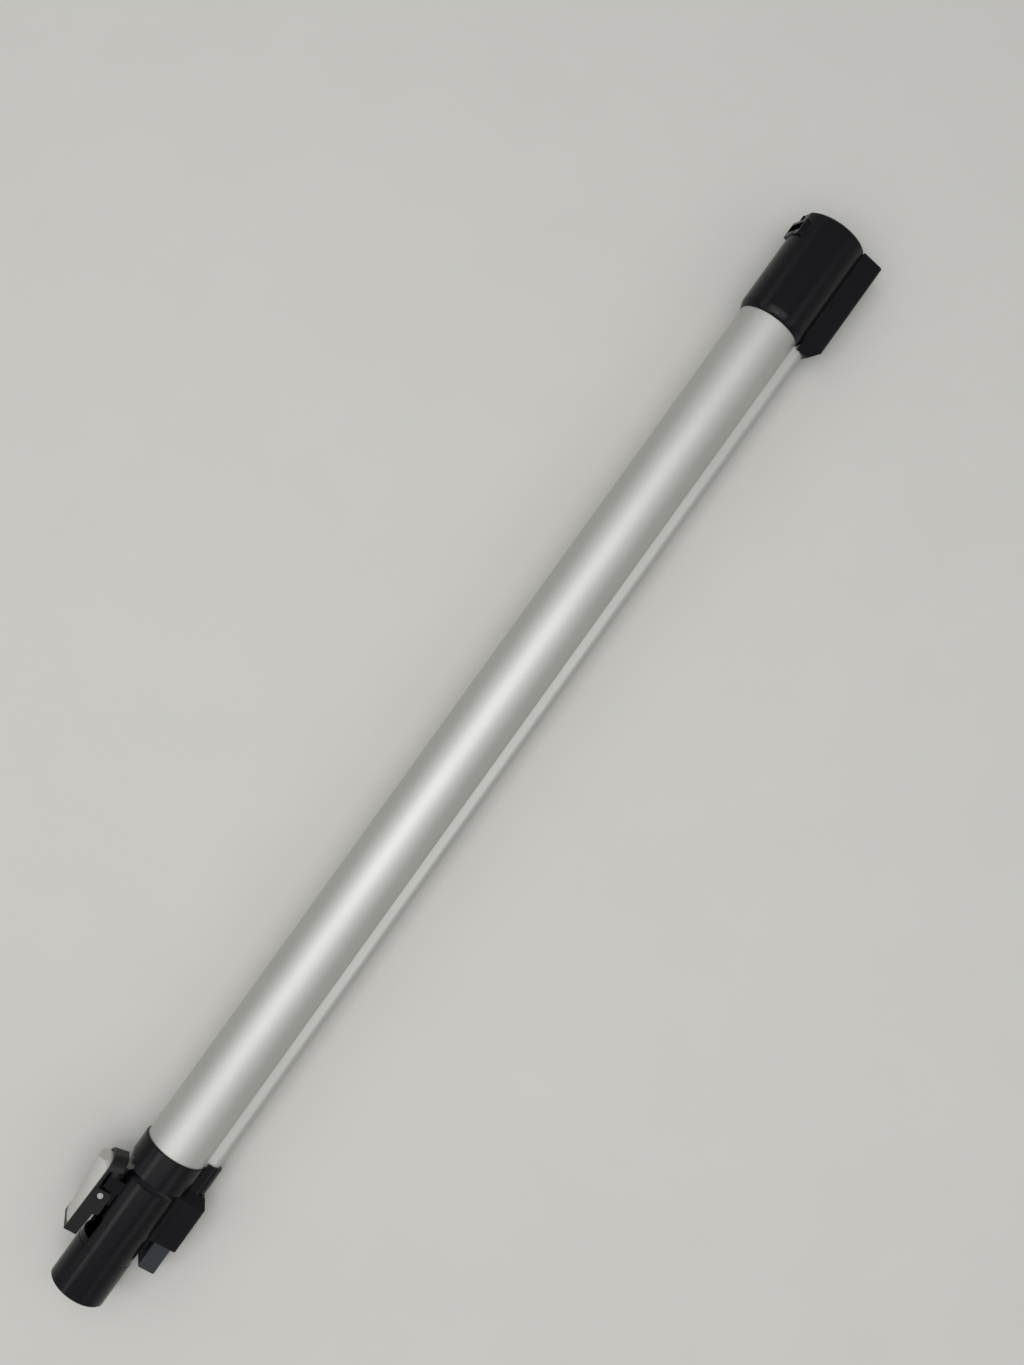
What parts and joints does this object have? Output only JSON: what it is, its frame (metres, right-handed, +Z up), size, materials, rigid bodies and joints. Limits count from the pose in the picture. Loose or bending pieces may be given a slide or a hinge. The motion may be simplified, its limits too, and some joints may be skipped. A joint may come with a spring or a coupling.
{
  "type": "vacuum extension wand",
  "caption": "Straight electrified vacuum wand: aluminium tube with a wire channel, a black spigot end with a release latch and contact tongue, and a matching socket end.",
  "frame": {"origin": "centre of the front edge of the spigot's land, on the wand's axis", "axes": "+X along the wand to the socket's mouth, +Z up as it lies on a floor, +Y to the latch's side"},
  "size_m": [0.748, 0.0684, 0.0428],
  "materials": {
    "satin_aluminium": "satin anodised",
    "black_abs": "moulded, soft gloss",
    "slate_plastic": "moulded, satin",
    "black_nylon": "moulded, satin",
    "grey_abs": "moulded, fine grain",
    "polished_steel": "bright",
    "spring_steel": "drawn wire",
    "zinc_steel": "zinc plated",
    "brass": "turned",
    "wire_insulation": "extruded",
    "seal_rubber": "moulded"
  },
  "bodies": {
    "wand": {"wand_tube": "satin_aluminium", "plug_collar": "black_abs", "plug_cover": "black_abs", "socket_collar": "black_abs", "socket_cover": "black_abs", "plug_tongue": "slate_plastic", "pin_block": "slate_plastic", "latch_pin": "polished_steel", "latch_spring": "spring_steel", "plug_screw": "zinc_steel", "socket_screw": "zinc_steel", "pin_live": "brass", "pin_neutral": "brass", "sleeve_live": "brass", "sleeve_neutral": "brass", "wire_live": "wire_insulation", "wire_neutral": "wire_insulation", "plug_seal": "seal_rubber", "socket_seal": "seal_rubber"},
    "latch": {"latch_lever": "black_nylon", "latch_paddle": "grey_abs"}
  },
  "joints": [
    {"name": "latch_pivot", "type": "hinge", "parent": "wand", "child": "latch", "pos_m": [0.055, 0.02178, 0.00739], "axis": [0, 0.3214, -0.947], "range_deg": [0, 7.5], "stiffness_Nm_per_rad": 0.4, "springref_deg": -14.32, "deforming": ["latch_spring"]}
  ]
}
